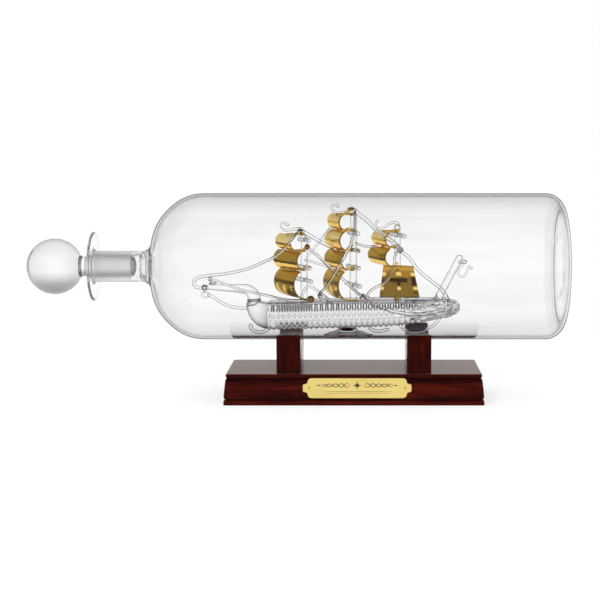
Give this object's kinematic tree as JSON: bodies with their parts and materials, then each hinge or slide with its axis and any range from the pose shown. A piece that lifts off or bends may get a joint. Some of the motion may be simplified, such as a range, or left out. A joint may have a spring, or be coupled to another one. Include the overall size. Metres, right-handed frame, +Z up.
{
  "type": "ship in a bottle",
  "caption": "Clear glass bottle on a wooden stand, with a lamp-worked glass sailing ship with gilded sails fused inside and a ground glass ball stopper in its neck.",
  "frame": {"origin": "on the table, under the middle of the overall length and depth", "axes": "+X from the stopper to the closed end of the bottle, +Y away from the nameplate, +Z up"},
  "size_m": [0.3491, 0.095, 0.1336],
  "materials": {
    "mahogany": "dark red stain under clear gloss lacquer",
    "plate_brass": "satin, lacquered",
    "screw_steel": "zinc plated",
    "bottle_glass": "clear, fire polished",
    "ground_glass": "ground matt",
    "ship_glass": "clear, fire polished",
    "gilded_glass": "gold lustre, mirror bright"
  },
  "bodies": {
    "stand": {"stand_base": "mahogany", "cradle_left": "mahogany", "cradle_right": "mahogany", "cradle_screws": "screw_steel", "nameplate": "plate_brass", "nameplate_pins": "plate_brass"},
    "bottle": {"bottle_tube": "bottle_glass", "bottle_end": "bottle_glass", "bottle_shoulder": "bottle_glass", "bottle_neck": "bottle_glass", "mouth_flange": "bottle_glass", "bobstay": "ship_glass", "bow_hook": "ship_glass", "bowsprit": "ship_glass", "bowsprit_fittings": "ship_glass", "deck_rails": "ship_glass", "fore_brace": "ship_glass", "fore_course": "gilded_glass", "fore_main_stay": "ship_glass", "fore_ratline": "ship_glass", "fore_topgallant": "gilded_glass", "fore_topsail": "gilded_glass", "fore_yards": "ship_glass", "foremast": "ship_glass", "forestay": "ship_glass", "hull_body": "ship_glass", "hull_bow": "ship_glass", "hull_ribs": "ship_glass", "jib_stay": "ship_glass", "keel_hook": "ship_glass", "main_backstay": "ship_glass", "main_course": "gilded_glass", "main_royal": "gilded_glass", "main_shroud": "ship_glass", "main_topgallant": "gilded_glass", "main_topsail": "gilded_glass", "main_yards": "ship_glass", "mainmast": "ship_glass", "mizzen_backstay": "ship_glass", "mizzen_shroud": "ship_glass", "mizzen_topgallant": "gilded_glass", "mizzen_topsail": "gilded_glass", "mizzen_yards": "ship_glass", "mizzenmast": "ship_glass", "pedestal": "ship_glass", "pennants": "ship_glass", "rigging_knobs": "ship_glass", "rudder_loop": "ship_glass", "short_stays": "ship_glass", "side_swags": "ship_glass", "spanker": "gilded_glass", "stern_lump": "ship_glass", "stern_staff": "ship_glass", "topmast_stay": "ship_glass"},
    "stopper": {"stopper_knob": "bottle_glass", "stopper_plug": "ground_glass"}
  },
  "joints": [
    {"name": "bottle_lift", "type": "slide", "parent": "stand", "child": "bottle", "axis": [0, 0, 1], "range_m": [0, 0.12]},
    {"name": "stopper_pull", "type": "slide", "parent": "bottle", "child": "stopper", "axis": [-1, 0, 0], "range_m": [0, 0.07]}
  ]
}
